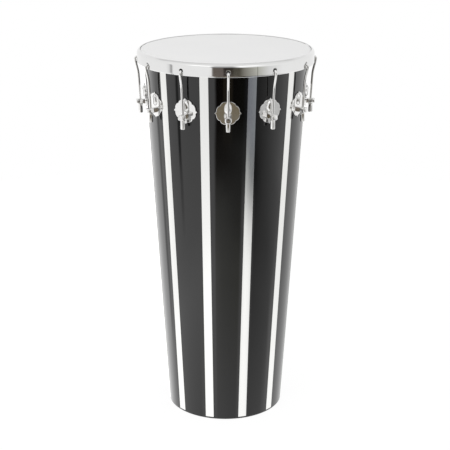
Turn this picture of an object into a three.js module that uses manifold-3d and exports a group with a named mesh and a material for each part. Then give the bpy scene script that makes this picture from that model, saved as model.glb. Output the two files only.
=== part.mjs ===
// A timbal: a tall conical hand drum with one head, played standing.
// A plywood cone wears a black laminate with silver strips. A plastic head is stretched over its
// top edge by a chromed counterhoop, which twelve hooked rods pull down towards twelve lugs.
// Millimetres, +Z up, origin on the floor at the drum's axis. The front lug faces -Y.

import * as THREE from "three";
import { mergeVertices } from "three/addons/utils/BufferGeometryUtils.js";
import Module from "manifold-3d";

// Driving dimensions of the whole drum
const drumHeight = 780;
const shellBottomRadius = 123;
const shellTopRadius = 170;
const lugCount = 12;
const fitGap = 0.3;
const cutOverrun = 6;

// Plywood shell
const plyThickness = 8;
const crestWidth = 1.6;
const crestRound = 2.4;
const footRound = 2.5;
const shellSides = 60;

// Laminate covering and its silver strips
const laminateThickness = 0.8;
const laminateFootMargin = 5;
const laminateTopMargin = 5;
const stripCount = 11;
const stripWidth = 19;
const stripThickness = 0.3;
const firstStripDegrees = 16.1;
const panelSides = 5;

// Counterhoop, rolled from steel strip
const hoopClearance = 2;
const hoopHeight = 26.6;
const hoopWall = 1.6;
const hoopShoulder = 8.5;
const hoopLipWidth = 6;
const hoopHoleDrop = 17;
const hoopHoleRadius = 4.1;
const hoopHoleSides = 8;
const shoulderSteps = 3;
const hoopSides = 60;

// Drumhead: a film in an aluminium flesh hoop
const filmThickness = 0.4;
const filmDrop = 0.9;
const collarDrop = 3.2;
const fleshStandoff = 3.9;
const fleshWall = 1.2;
const fleshGroove = 2.1;
const fleshDepth = 5.6;

// Hooked tension rods
const rodRadius = 2.5;
const rodStandoff = 13;
const rodSides = 8;
const hookBend = 4.2;
const hookLeanDegrees = 6;
const hookStandoff = 0.6;
const hookTipLength = 7;
const offsetBendRun = 32;
const offsetBendSteps = 4;
const bendSteps = 4;

// Lugs, each a pointed and notched plate with a teardrop boss and an arm for the rod
const lugDrop = 110.5;
const armHeight = 9.6;
const armWidth = 14;
const armReach = 9;
const armCurveSteps = 4;
const rodHoleRadius = 3;
const plateRadius = 24.4;
const plateThickness = 2.2;
const plateLift = 11;
const platePointReach = 2.6;
const plateNeckDepth = 0.4;
const plateNotchDepth = 1.6;
const plateQuarters = 4;
const plateTurnShares = [0, 0.09, 0.29, 0.5, 0.71, 0.91];
const bossWidth = 16;
const bossLength = 21;
const bossStandout = 4.6;
const bossBottomLift = 12;
const bossSides = 8;
const bossWidthShares = [0, 0.84, 1, 0.66, 0];
const bossLengthShares = [0, 0.12, 0.36, 0.7, 1];

// Sleeve nuts under the lugs
const nutAcrossFlats = 9;
const nutLength = 18.5;
const nutCollarRadius = 5.6;
const nutCollarHeight = 1.4;
const nutBoreRadius = 2.85;
const nutBoreSides = 10;
const nutChamfer = 1;
const nutThreadSpare = 2.5;

// Lug bolts, driven from inside the shell, each with its washer under the head
const boltRadius = 3;
const boltSides = 8;
const boltHoleRadius = 3.4;
const boltGrip = 5.5;
const boltEndSpare = 1;
const boltHeadAcrossFlats = 10;
const boltHeadHeight = 4;
const washerRadius = 7.5;
const washerThickness = 1.5;
const washerSides = 10;

// Colours
const hoopChrome = { color: 0xd8d9da, roughness: 0.06, metalness: 1 };
const lugChrome = { color: 0xcfd0d2, roughness: 0.1, metalness: 1 };
const zincPlate = { color: 0xa9abad, roughness: 0.35, metalness: 1 };
const aluminium = { color: 0xbfc2c4, roughness: 0.4, metalness: 1 };
const blackGloss = { color: 0x0b0b0c, roughness: 0.08, metalness: 0 };
const plywood = { color: 0x8a6a48, roughness: 0.65, metalness: 0 };
const whiteFilm = { color: 0xe6e6e6, roughness: 0.35, metalness: 0 };

const wasm = await Module();
wasm.setup();

// Solids are joined and cut on merged positions alone.
function toSolid(geometry) {
  const bare = new THREE.BufferGeometry();
  bare.setAttribute("position", geometry.getAttribute("position"));
  if (geometry.index) bare.setIndex(geometry.index);
  const merged = mergeVertices(bare);
  return new wasm.Manifold(
    new wasm.Mesh({
      numProp: 3,
      vertProperties: merged.attributes.position.array,
      triVerts: new Uint32Array(merged.index.array),
    }),
  );
}

function toGeometry(solid) {
  const mesh = solid.getMesh();
  const geometry = new THREE.BufferGeometry();
  geometry.setAttribute("position", new THREE.BufferAttribute(new Float32Array(mesh.vertProperties), 3));
  geometry.setIndex(new THREE.BufferAttribute(new Uint32Array(mesh.triVerts), 1));
  geometry.computeVertexNormals();
  return geometry;
}

// A closed profile of (radius, height) pairs turned about the drum's axis
function revolve(profile, sides) {
  const points = profile.map(([radius, height]) => new THREE.Vector2(radius, height));
  points.push(points[0].clone());
  return new THREE.LatheGeometry(points, sides).rotateX(Math.PI / 2);
}

function arcPoints(centreRadius, centreHeight, bend, from, to, steps) {
  return Array.from({ length: steps + 1 }, (_, i) => {
    const turn = from + ((to - from) * i) / steps;
    return [centreRadius + bend * Math.cos(turn), centreHeight + bend * Math.sin(turn)];
  });
}

function hexagonRadius(acrossFlats) {
  return acrossFlats / Math.sqrt(3);
}

// A round bar along local Z, from one height to another
function bar(radius, from, to, sides) {
  return new THREE.CylinderGeometry(radius, radius, to - from, sides)
    .rotateX(Math.PI / 2)
    .translate(0, 0, (from + to) / 2);
}

// Surfaces of the cone: the laminate's face, the plywood's face and its inside
const coneSlope = (shellTopRadius - shellBottomRadius) / drumHeight;
const coneTilt = Math.atan(coneSlope);
const laminateFace = (z) => shellBottomRadius + coneSlope * z;
const plyFace = (z) => laminateFace(z) - laminateThickness - fitGap;
const plyInside = (z) => plyFace(z) - plyThickness;

// Levels that the head, the hoop and the lugs share
const filmTop = drumHeight - filmDrop;
const crestTop = filmTop - filmThickness - fitGap;
const hoopBottom = drumHeight - hoopHeight;
const holeLevel = drumHeight - hoopHoleDrop;
const hookPlay = hoopHoleRadius * Math.cos(Math.PI / hoopHoleSides) - rodRadius;
const hookLevel = holeLevel - hookPlay + fitGap;
const armMiddle = drumHeight - lugDrop;
const armBottom = armMiddle - armHeight / 2;
const armTop = armMiddle + armHeight / 2;
const nutTop = armBottom - fitGap;
const nutBottom = nutTop - nutLength;
const lugSeat = laminateFace(armMiddle) + stripThickness + fitGap;
const rodCircleRadius = laminateFace(armMiddle) + rodStandoff;

// Radii of the channel of the flesh hoop, and of the band that stands round it
const fleshInner = shellTopRadius + fleshStandoff;
const grooveInner = fleshInner + fleshWall;
const grooveOuter = grooveInner + fleshGroove;
const fleshOuter = grooveOuter + fleshWall;
const hoopRadius = fleshOuter + hoopClearance + hoopWall;

// The wall's own frame at a lug: local -Y leaves the wall squarely and local Z climbs along it.
function onWall(geometry) {
  return geometry.rotateX(coneTilt).translate(0, -laminateFace(armMiddle), armMiddle);
}

// A bar square to the wall at a lug bolt, between two distances out from the laminate's face
function wallBar(radius, from, to, sides) {
  return onWall(bar(radius, from, to, sides).rotateX(Math.PI / 2));
}

// The cutter of one bolt hole that reaches to a depth in the wall
function wallCutter(depth) {
  return toSolid(wallBar(boltHoleRadius, -depth - cutOverrun, cutOverrun, boltSides));
}

function cut(solid, cutter) {
  return solid.subtract(cutter);
}

function atEachLug(solid) {
  const turns = Array.from({ length: lugCount }, (_, i) => (360 * i) / lugCount);
  return turns.map((turn) => solid.rotate([0, 0, turn]));
}

// Plywood shell: a hollow cone with a rounded foot and a bearing edge that slopes inwards
function shellGeometry() {
  const outerTop = plyFace(crestTop);
  const crestInner = outerTop - crestRound - crestWidth;
  const bevelRun = crestInner - plyInside(crestTop);
  const profile = [
    [plyInside(footRound) + footRound, 0],
    [plyFace(0) - footRound, 0],
    [plyFace(footRound), footRound],
    [plyFace(crestTop - crestRound), crestTop - crestRound],
    ...arcPoints(outerTop - crestRound, crestTop - crestRound, crestRound, Math.PI / 6, Math.PI / 2, 2),
    [crestInner, crestTop],
    [plyInside(crestTop - bevelRun), crestTop - bevelRun],
    [plyInside(footRound), footRound],
  ];
  const holes = atEachLug(wallCutter(laminateThickness + plyThickness));
  return toGeometry(holes.reduce(cut, toSolid(revolve(profile, shellSides))));
}

// The laminate's outline at a height, with its raised strips
function laminateOutline(z) {
  const radius = laminateFace(z);
  const raised = radius + stripThickness;
  const halfStrip = Math.asin(stripWidth / 2 / radius);
  const period = (2 * Math.PI) / stripCount;
  const outline = [];
  for (let strip = 0; strip < stripCount; strip += 1) {
    const middle = THREE.MathUtils.degToRad(firstStripDegrees) + strip * period;
    const edge = middle + halfStrip;
    outline.push([radius, middle - halfStrip], [raised, middle - halfStrip]);
    outline.push([raised, middle], [raised, edge]);
    for (let side = 0; side < panelSides; side += 1) {
      outline.push([radius, edge + (side / panelSides) * (period - 2 * halfStrip)]);
    }
  }
  return outline.map(([r, angle]) => [r * Math.sin(angle), -r * Math.cos(angle), z]);
}

// A solid between stacked outlines that have the same number of points
function loft(outlines) {
  const count = outlines[0].length;
  const positions = outlines.flat(2);
  const faces = [];
  for (let level = 0; level + 1 < outlines.length; level += 1) {
    for (let i = 0; i < count; i += 1) {
      const next = (i + 1) % count;
      const low = level * count;
      const high = low + count;
      faces.push(low + i, low + next, high + next, low + i, high + next, high + i);
    }
  }
  const bottomCentre = positions.length / 3;
  positions.push(0, 0, outlines[0][0][2], 0, 0, outlines.at(-1)[0][2]);
  for (let i = 0; i < count; i += 1) {
    const next = (i + 1) % count;
    const top = (outlines.length - 1) * count;
    faces.push(bottomCentre, next, i, bottomCentre + 1, top + i, top + next);
  }
  const geometry = new THREE.BufferGeometry();
  geometry.setAttribute("position", new THREE.BufferAttribute(new Float32Array(positions), 3));
  geometry.setIndex(faces);
  return geometry;
}

// Laminate: a thin black sleeve with the silver strips bonded to it
function laminateGeometry() {
  const low = laminateFootMargin;
  const high = crestTop - laminateTopMargin;
  const inside = (z) => laminateFace(z) - laminateThickness;
  const core = [
    [0, low - cutOverrun],
    [inside(low - cutOverrun), low - cutOverrun],
    [inside(high + cutOverrun), high + cutOverrun],
    [0, high + cutOverrun],
  ];
  const sleeve = toSolid(loft([laminateOutline(low), laminateOutline(high)]));
  const covering = sleeve.subtract(toSolid(revolve(core, shellSides)));
  return toGeometry(atEachLug(wallCutter(laminateThickness)).reduce(cut, covering));
}

// Counterhoop: a tall band whose top edge turns in over the flesh hoop
const shoulderCentre = hoopRadius - hoopShoulder;
const shoulderTurn = Math.acos((hoopShoulder - hoopLipWidth) / hoopShoulder);
const shoulderLevel = drumHeight - hoopShoulder * Math.sin(shoulderTurn);
const lipBend = hoopShoulder - hoopWall;

function counterhoopGeometry() {
  const profile = [
    [hoopRadius - hoopWall, hoopBottom],
    [hoopRadius, hoopBottom],
    ...arcPoints(shoulderCentre, shoulderLevel, hoopShoulder, 0, shoulderTurn, shoulderSteps),
    ...arcPoints(shoulderCentre, shoulderLevel, lipBend, shoulderTurn, 0, shoulderSteps),
  ];
  const hole = toSolid(
    bar(hoopHoleRadius, -cutOverrun, cutOverrun, hoopHoleSides)
      .rotateX(Math.PI / 2)
      .translate(0, -hoopRadius, holeLevel),
  );
  return toGeometry(atEachLug(hole).reduce(cut, toSolid(revolve(profile, hoopSides))));
}

// Flesh hoop: a channel whose outer wall the counterhoop's lip presses on
const lipUnderside = shoulderLevel + Math.sqrt(lipBend ** 2 - (fleshOuter - shoulderCentre) ** 2);
const fleshTop = lipUnderside - fitGap;
const collarLevel = filmTop - collarDrop;
const innerWallTop = collarLevel - filmThickness - fitGap;
const grooveBottom = collarLevel - fleshDepth + fleshWall;
const fleshBottom = grooveBottom - fleshWall;

function fleshHoopGeometry() {
  return revolve(
    [
      [fleshInner, fleshBottom],
      [fleshOuter, fleshBottom],
      [fleshOuter, fleshTop],
      [grooveOuter, fleshTop],
      [grooveOuter, grooveBottom],
      [grooveInner, grooveBottom],
      [grooveInner, innerWallTop],
      [fleshInner, innerWallTop],
    ],
    hoopSides,
  );
}

// Film: flat over the bearing edge, with a collar that drops into the flesh hoop's groove
function filmGeometry() {
  const grooveMiddle = (grooveInner + grooveOuter) / 2;
  const flatEdge = plyFace(crestTop);
  const outer = grooveMiddle + filmThickness / 2;
  const inner = outer - filmThickness;
  const skirtBottom = grooveBottom + fitGap;
  return revolve(
    [
      [0, filmTop - filmThickness],
      [flatEdge, filmTop - filmThickness],
      [fleshInner, collarLevel - filmThickness],
      [inner, collarLevel - filmThickness],
      [inner, skirtBottom],
      [outer, skirtBottom],
      [outer, collarLevel],
      [fleshInner, collarLevel],
      [flatEdge, filmTop],
      [0, filmTop],
    ],
    hoopSides,
  );
}

// A path through stations, one at each step of the sweep
class StationPath extends THREE.Curve {
  constructor(stations) {
    super();
    this.stations = stations;
  }

  getPoint(t) {
    const place = t * (this.stations.length - 1);
    const index = Math.min(Math.floor(place), this.stations.length - 2);
    return this.stations[index].clone().lerp(this.stations[index + 1], place - index);
  }

  getPointAt(u) {
    return this.getPoint(u);
  }

  getTangentAt(u) {
    const index = Math.round(u * (this.stations.length - 1));
    const before = this.stations[Math.max(index - 1, 0)];
    const after = this.stations[Math.min(index + 1, this.stations.length - 1)];
    return after.clone().sub(before).normalize();
  }
}

// Tension rod: straight through the lug's arm, up along the cone, out round the hoop's edge and
// hooked into its hole
function rodStations() {
  const bendCentre = hoopRadius - hookStandoff;
  const bendLevel = hookLevel - hookBend;
  const lean = THREE.MathUtils.degToRad(hookLeanDegrees);
  const topRadius = bendCentre + hookBend * Math.cos(lean);
  const topLevel = bendLevel - hookBend * Math.sin(lean);
  const lowLevel = topLevel - offsetBendRun;
  const lowRadius = rodCircleRadius + coneSlope * (lowLevel - armTop);
  const third = offsetBendRun / 3;
  const offsetBend = new THREE.CubicBezierCurve(
    new THREE.Vector2(lowRadius, lowLevel),
    new THREE.Vector2(lowRadius + coneSlope * third, lowLevel + third),
    new THREE.Vector2(topRadius - Math.tan(lean) * third, topLevel - third),
    new THREE.Vector2(topRadius, topLevel),
  );
  const stations = [
    [rodCircleRadius, nutBottom + nutThreadSpare],
    [rodCircleRadius, armTop],
    ...offsetBend.getPoints(offsetBendSteps).map((point) => point.toArray()),
    ...arcPoints(bendCentre, bendLevel, hookBend, -lean, Math.PI / 2, bendSteps).slice(1),
    [bendCentre - hookTipLength, hookLevel],
  ];
  return stations.map(([radius, z]) => new THREE.Vector3(0, -radius, z));
}

function rodGeometry() {
  const section = new THREE.Shape();
  for (let side = 0; side < rodSides; side += 1) {
    const angle = (side * 2 * Math.PI) / rodSides;
    const point = [rodRadius * Math.cos(angle), rodRadius * Math.sin(angle)];
    if (side === 0) section.moveTo(...point);
    else section.lineTo(...point);
  }
  const stations = rodStations();
  const path = new StationPath(stations);
  return new THREE.ExtrudeGeometry(section, { steps: stations.length - 1, extrudePath: path });
}

// The lug's plate: a disc with a small point at each quarter and a notch half way between them
function platePoints() {
  const point = plateRadius + platePointReach;
  const neck = plateRadius - plateNeckDepth;
  const notch = plateRadius - plateNotchDepth;
  const reaches = [point, neck, plateRadius, notch, plateRadius, neck];
  const outline = [];
  for (let quarter = 0; quarter < plateQuarters; quarter += 1) {
    reaches.forEach((reach, i) => {
      const angle = (2 * Math.PI * (quarter + plateTurnShares[i])) / plateQuarters;
      outline.push(new THREE.Vector2(reach * Math.cos(angle), reach * Math.sin(angle)));
    });
  }
  return outline;
}

// The cone that every lug is cut by, a little outside the strips' faces
function seatCutter() {
  const seat = (z) => (laminateFace(z) + stripThickness + fitGap) / Math.cos(Math.PI / shellSides);
  const reach = plateRadius + plateLift + cutOverrun;
  const profile = [
    [0, armMiddle - reach],
    [seat(armMiddle - reach), armMiddle - reach],
    [seat(armMiddle + reach), armMiddle + reach],
    [0, armMiddle + reach],
  ];
  return toSolid(revolve(profile, shellSides));
}

function lugPlate() {
  const depth = plateThickness + cutOverrun;
  const plate = new THREE.ExtrudeGeometry(new THREE.Shape(platePoints()), { depth, bevelEnabled: false });
  plate.rotateX(Math.PI / 2).translate(0, cutOverrun - stripThickness - fitGap, plateLift);
  return toSolid(onWall(plate));
}

function lugBoss() {
  const profile = bossWidthShares.map(
    (share, i) => new THREE.Vector2((share * bossWidth) / 2, bossLengthShares[i] * bossLength),
  );
  const boss = new THREE.LatheGeometry(profile, bossSides).rotateX(Math.PI / 2);
  boss.scale(1, bossStandout / (bossWidth / 2), 1);
  boss.translate(0, -plateThickness, bossBottomLift);
  return toSolid(onWall(boss));
}

function lugArm() {
  const outline = new THREE.Shape();
  const root = lugSeat - cutOverrun;
  const tip = rodCircleRadius + armReach;
  const half = armWidth / 2;
  outline.moveTo(half, root);
  outline.lineTo(half, tip - half);
  outline.absarc(0, tip - half, half, 0, Math.PI, false);
  outline.lineTo(-half, root);
  const hole = new THREE.Path();
  hole.absarc(0, rodCircleRadius, rodHoleRadius, 0, 2 * Math.PI, true);
  outline.holes.push(hole);
  const settings = { depth: armHeight, bevelEnabled: false, curveSegments: armCurveSteps };
  const arm = new THREE.ExtrudeGeometry(outline, settings);
  return toSolid(arm.rotateZ(Math.PI).translate(0, 0, armBottom));
}

function lugGeometry() {
  const boltHoleEnd = stripThickness + fitGap + boltGrip + boltEndSpare;
  const boltHole = toSolid(wallBar(boltHoleRadius, -cutOverrun, boltHoleEnd, boltSides));
  return toGeometry(lugPlate().add(lugBoss()).add(lugArm()).subtract(seatCutter()).subtract(boltHole));
}

// Sleeve nut: a long hexagon with a collar that bears on the lug's arm
function nutGeometry() {
  const corner = hexagonRadius(nutAcrossFlats);
  const neck = corner - nutChamfer;
  const hexagon = new THREE.LatheGeometry(
    [
      new THREE.Vector2(0, nutBottom),
      new THREE.Vector2(neck, nutBottom),
      new THREE.Vector2(corner, nutBottom + nutChamfer),
      new THREE.Vector2(corner, nutTop - nutCollarHeight / 2),
      new THREE.Vector2(0, nutTop - nutCollarHeight / 2),
    ],
    6,
  ).rotateX(Math.PI / 2);
  hexagon.rotateZ(Math.PI / 6);
  const collar = bar(nutCollarRadius, nutTop - nutCollarHeight, nutTop, nutBoreSides);
  const bore = bar(nutBoreRadius, nutBottom - cutOverrun, nutTop + cutOverrun, nutBoreSides);
  const nut = toSolid(hexagon).add(toSolid(collar)).subtract(toSolid(bore));
  return toGeometry(nut.translate([0, -rodCircleRadius, 0]));
}

// Lug bolt: shank through the wall, with a washer and a hexagon head inside
// The flat washer spans the hollow of the round wall and touches it at its sides.
function boltGeometry() {
  const hollow = washerRadius * Math.tan(Math.PI / shellSides);
  const washerSeat = -laminateThickness - fitGap - plyThickness - hollow - fitGap;
  const shankEnd = stripThickness + fitGap + boltGrip;
  const headTop = washerSeat - washerThickness;
  const shank = bar(boltRadius, headTop, shankEnd, boltSides);
  const washer = bar(washerRadius, headTop, washerSeat, washerSides);
  const head = bar(hexagonRadius(boltHeadAcrossFlats), headTop - boltHeadHeight, headTop, 6);
  const bolt = toSolid(shank).add(toSolid(washer)).add(toSolid(head));
  return onWall(toGeometry(bolt).rotateX(Math.PI / 2));
}

const drum = new THREE.Group();

function addPiece(name, geometry, finish, parent = drum) {
  const piece = new THREE.Mesh(geometry, new THREE.MeshStandardMaterial(finish));
  piece.name = name;
  parent.add(piece);
}

addPiece("plywood_shell", shellGeometry(), plywood);
addPiece("laminate_covering", laminateGeometry(), blackGloss);
addPiece("counterhoop", counterhoopGeometry(), hoopChrome);
addPiece("flesh_hoop", fleshHoopGeometry(), aluminium);
addPiece("drumhead_film", filmGeometry(), whiteFilm);

const lugPieces = [
  ["lug", lugGeometry(), lugChrome],
  ["tension_rod", rodGeometry(), lugChrome],
  ["sleeve_nut", nutGeometry(), lugChrome],
  ["lug_bolt", boltGeometry(), zincPlate],
];

for (let lug = 0; lug < lugCount; lug += 1) {
  const station = new THREE.Group();
  station.rotation.z = (2 * Math.PI * lug) / lugCount;
  drum.add(station);
  const number = String(lug + 1).padStart(2, "0");
  lugPieces.forEach(([name, geometry, finish]) => addPiece(`${name}_${number}`, geometry, finish, station));
}

export default drum;
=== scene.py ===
import math

import bmesh
import bpy
from mathutils import Matrix, Quaternion, Vector


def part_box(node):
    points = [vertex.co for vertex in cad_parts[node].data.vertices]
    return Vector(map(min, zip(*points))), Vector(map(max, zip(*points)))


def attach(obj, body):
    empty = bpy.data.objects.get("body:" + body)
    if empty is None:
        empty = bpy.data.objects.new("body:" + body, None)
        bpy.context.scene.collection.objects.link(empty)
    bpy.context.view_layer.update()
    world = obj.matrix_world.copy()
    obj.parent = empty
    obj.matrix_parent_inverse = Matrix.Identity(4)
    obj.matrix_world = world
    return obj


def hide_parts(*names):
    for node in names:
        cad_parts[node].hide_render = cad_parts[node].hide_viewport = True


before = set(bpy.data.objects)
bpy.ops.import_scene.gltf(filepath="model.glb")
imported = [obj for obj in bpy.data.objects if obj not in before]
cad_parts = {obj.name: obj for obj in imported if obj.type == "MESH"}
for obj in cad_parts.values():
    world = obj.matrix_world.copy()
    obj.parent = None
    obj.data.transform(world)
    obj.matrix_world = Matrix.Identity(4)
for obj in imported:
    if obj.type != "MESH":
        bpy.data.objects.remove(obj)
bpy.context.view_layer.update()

scene = bpy.context.scene
scene.view_settings.view_transform = "Standard"


# Camera
# Stands in front of the drum and a little above its head, and looks down at the shell's middle.
# Its distance and height come from how round the hoop and the foot look at their real sizes.
camera_distance = 2.682
camera_elevation = math.radians(17.97)
camera_turn = math.radians(1.618)
camera_target = Vector((0, 0, 0.3984))
camera_roll = math.radians(0.1)
camera_shift = -0.0009
focal_length = 100.25

camera = bpy.data.objects.new("camera", bpy.data.cameras.new("camera"))
scene.collection.objects.link(camera)
scene.camera = camera
camera.data.lens = focal_length
camera.data.shift_x = camera_shift
back = Vector((-math.sin(camera_turn), -math.cos(camera_turn), 0)) * math.cos(camera_elevation)
back.z = math.sin(camera_elevation)
camera.location = camera_target + back * camera_distance
level_view = (-back).to_track_quat("-Z", "Y")
camera.rotation_euler = (level_view @ Quaternion((0, 0, 1), camera_roll)).to_euler()


# White studio
# A bright tent all round, with a dark opening towards the camera: chrome and gloss mirror it.
# One class makes the nodes of every tree here, and Python's arithmetic makes the Math nodes.
class Value:
    """One socket of a node, for arithmetic that turns into Math nodes."""

    def __init__(self, recipe, socket):
        self.recipe = recipe
        self.socket = socket

    def math(self, operation, first, second=0.0):
        return self.recipe.node("ShaderNodeMath", {"operation": operation}, {0: first, 1: second})

    def __add__(self, other):
        return self.math("ADD", self, other)

    __radd__ = __add__

    def __sub__(self, other):
        return self.math("SUBTRACT", self, other)

    def __rsub__(self, other):
        return self.math("SUBTRACT", other, self)

    def __mul__(self, other):
        return self.math("MULTIPLY", self, other)

    __rmul__ = __mul__

    def __truediv__(self, other):
        return self.math("DIVIDE", self, other)

    def __rtruediv__(self, other):
        return self.math("DIVIDE", other, self)

    def part(self, name):
        return Value(self.recipe, self.socket.node.outputs[name])

    def ramp(self, low, high):
        """0 below low, 1 above high and even between them."""
        return self.recipe.node("ShaderNodeMapRange", {}, {0: self, 1: low, 2: high})


class Recipe:
    """A node tree that is built one node at a time."""

    def __init__(self, tree):
        self.tree = tree
        tree.nodes.clear()

    def node(self, kind, settings=None, inputs=None, output=0):
        made = self.tree.nodes.new(kind)
        for name, value in (settings or {}).items():
            if name == "stops":
                self.set_stops(made.color_ramp.elements, value)
            else:
                setattr(made, name, value)
        for name, value in (inputs or {}).items():
            if isinstance(value, Value):
                self.tree.links.new(value.socket, made.inputs[name])
            else:
                made.inputs[name].default_value = value
        return Value(self, made.outputs[output]) if len(made.outputs) else None

    def set_stops(self, elements, stops):
        elements.remove(elements[1])
        elements[0].position = stops[0][0]
        elements[0].color = (*stops[0][1], 1)
        for place, colour in stops[1:]:
            elements.new(place).color = (*colour, 1)

    def mix(self, factor, first, second):
        inputs = {0: factor, 6: first, 7: second}
        return self.node("ShaderNodeMix", {"data_type": "RGBA"}, inputs, output=2)


def grey(level):
    return (level, level, level)


def azimuth_stops(rows):
    """Colour stops at azimuths in degrees, where 0 is the drum's front and 90 its right side."""
    return [(azimuth / 360 + 0.5, colour) for azimuth, colour in rows]


daylight = 0.86
ceiling_shade = 0.87
ceiling_start, ceiling_full = 44, 52
back_shade = 0.72
back_start, back_full = 36, 42
back_near, back_far = 0.2, 0.35

# The tent's wall at nine heights, from the floor at the drum's foot up to the soft box: pale
# panels, the grey gaps between them and the opening in the middle.
foot_row = azimuth_stops([
    (-128, grey(1.4)), (-112, grey(1.25)), (-96, grey(1.25)), (-88, grey(1.05)), (-52, grey(0.98)),
    (-47, grey(1.25)), (-20, grey(1.25)), (-17, grey(1)), (8, grey(0.85)), (20, grey(0.85)),
    (25, grey(1.2)), (42, grey(1.15)), (47, grey(0.85)), (76, grey(0.88)), (84, grey(1.2)),
])
floor_row = azimuth_stops([
    (-134, grey(1.7)), (-116, grey(1.3)), (-20, grey(1.3)), (-18, (0.85, 0.85, 0.8)),
    (-8, (0.67, 0.67, 0.63)), (5, (0.59, 0.59, 0.55)), (21, (0.55, 0.55, 0.5)), (26, grey(1)),
    (34, grey(1.2)), (42, grey(1.1)), (47, grey(0.5)), (66, grey(0.6)), (84, grey(0.68)),
    (90, grey(1.15)),
])
middle_row = azimuth_stops([
    (-134, grey(1.7)), (-127, grey(1.75)), (-124, grey(1.5)), (-122, grey(0.85)),
    (-118.5, grey(0.85)), (-117, grey(1.2)), (-98, grey(1.1)), (-20, grey(1.1)),
    (-17, (0.55, 0.55, 0.52)), (12, (0.34, 0.34, 0.32)), (22, (0.3, 0.3, 0.28)), (26, grey(0.9)),
    (30, grey(1.05)), (42, grey(0.95)), (47, grey(0.32)), (62, grey(0.45)), (72, grey(0.5)),
    (88, grey(0.7)), (95, grey(1.05)),
])
front_row = azimuth_stops([
    (-134, grey(1.6)), (-127, grey(1.65)), (-124, grey(1.4)), (-122, grey(0.75)),
    (-118.5, grey(0.75)), (-117, grey(1.2)), (-110, grey(1.2)), (-98, grey(1.1)),
    (-78, grey(1.07)), (-76, grey(0.7)), (-73, grey(0.7)), (-71, grey(1.05)), (-20, grey(1.05)),
    (-16, (0.1, 0.09, 0.08)), (0, (0.12, 0.11, 0.1)), (22, (0.2, 0.2, 0.19)),
    (31, (0.4, 0.41, 0.4)), (38, (0.14, 0.145, 0.15)), (46, grey(0.15)), (59, grey(0.4)),
    (74, grey(0.6)), (94, grey(0.78)), (98, grey(1)),
])
low_row = azimuth_stops([
    (-134, grey(1.6)), (-127, grey(1.65)), (-124, grey(1.4)), (-122, grey(0.75)),
    (-118.5, grey(0.75)), (-117, grey(1.2)), (-110, grey(1.2)), (-98, grey(1.05)),
    (-78, grey(1.02)), (-76.5, grey(0.2)), (-73.5, grey(0.2)), (-72, grey(1)), (-18, grey(0.95)),
    (-14.5, (0.03, 0.02, 0.015)), (-6, (0.035, 0.025, 0.015)), (-4, (0.17, 0.14, 0.09)),
    (7, (0.17, 0.14, 0.09)), (9, (0.03, 0.025, 0.02)), (24, (0.04, 0.04, 0.03)),
    (32, (0.16, 0.17, 0.2)), (42, (0.22, 0.235, 0.26)), (47, grey(0.25)), (60, grey(0.42)),
    (67, grey(0.56)), (84, grey(0.85)), (92, grey(1)),
])
upright_row = azimuth_stops([
    (-134, grey(1.5)), (-118, grey(1)), (-24, grey(0.95)), (-17, (0.25, 0.22, 0.19)),
    (12, (0.25, 0.22, 0.19)), (22, (0.12, 0.11, 0.09)), (40, (0.3, 0.3, 0.28)),
    (60, grey(0.8)), (84, grey(1)),
])
high_row = azimuth_stops([
    (-83, grey(0.96)), (-78, grey(0.8)), (-75.5, grey(0.36)), (-74, grey(0.36)),
    (-72.5, grey(0.96)), (-19.5, grey(0.96)), (-18, (0.13, 0.11, 0.095)),
    (-5.5, (0.13, 0.11, 0.1)), (-4.5, (0.03, 0.024, 0.022)), (7, (0.03, 0.026, 0.02)),
    (10, (0.07, 0.065, 0.05)), (16, (0.075, 0.07, 0.053)), (22, (0.24, 0.23, 0.2)),
    (40, (0.52, 0.52, 0.47)), (56, grey(0.78)), (76, grey(0.95)),
])
open_row = azimuth_stops([
    (-22, grey(0.95)), (-18, grey(0.3)), (8, grey(0.25)), (18, grey(0.95)),
])
softbox_row = azimuth_stops([
    (-95, grey(0.92)), (-60, grey(1)), (-48, grey(1.3)), (-24, grey(1.3)), (-16, grey(0.7)),
    (8, grey(0.65)), (18, grey(1.3)), (40, grey(1.25)), (60, grey(0.92)), (90, grey(0.88)),
])

# Each row takes over from the one below it between two heights in degrees.
rows_above = [
    (-34, -28, floor_row), (-27.3, -25, middle_row), (-24.7, -22.6, front_row),
    (-21.9, -20.4, low_row), (-16.5, -15, upright_row), (-12.1, -11.4, high_row),
    (-2, 3, open_row), (22, 28, softbox_row),
]

world = bpy.data.worlds.new("white_studio")
world.use_nodes = True
scene.world = world
studio = Recipe(world.node_tree)
rays = studio.node("ShaderNodeLightPath")
mirrored = rays.math("MAXIMUM", rays.part("Is Glossy Ray"), rays.part("Is Transmission Ray"))
direction = studio.node("ShaderNodeTexCoord", {}, {}, "Generated")
along = studio.node("ShaderNodeSeparateXYZ", {}, {0: direction})
turn_share = along.math("ARCTAN2", along.part("X"), 0 - along.part("Y")) / (2 * math.pi) + 0.5
elevation = along.math("ARCSINE", along.part("Z")) * (180 / math.pi)
tent = studio.node("ShaderNodeValToRGB", {"stops": foot_row}, {0: turn_share})
for low, high, row in rows_above:
    colour = studio.node("ShaderNodeValToRGB", {"stops": row}, {0: turn_share})
    tent = studio.mix(elevation.ramp(low, high), tent, colour)
tent = studio.mix(elevation.ramp(ceiling_start, ceiling_full), tent, (*grey(ceiling_shade), 1))
behind = along.part("Y").ramp(back_near, back_far) * elevation.ramp(back_start, back_full)
tent = studio.mix(behind, tent, (*grey(back_shade), 1))
shown = studio.mix(mirrored, (*grey(1), 1), tent)
light = studio.node("ShaderNodeBackground", {}, {"Color": (*grey(1), 1), "Strength": daylight})
picture = studio.node("ShaderNodeBackground", {}, {"Color": shown, "Strength": 1.0})
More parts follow.
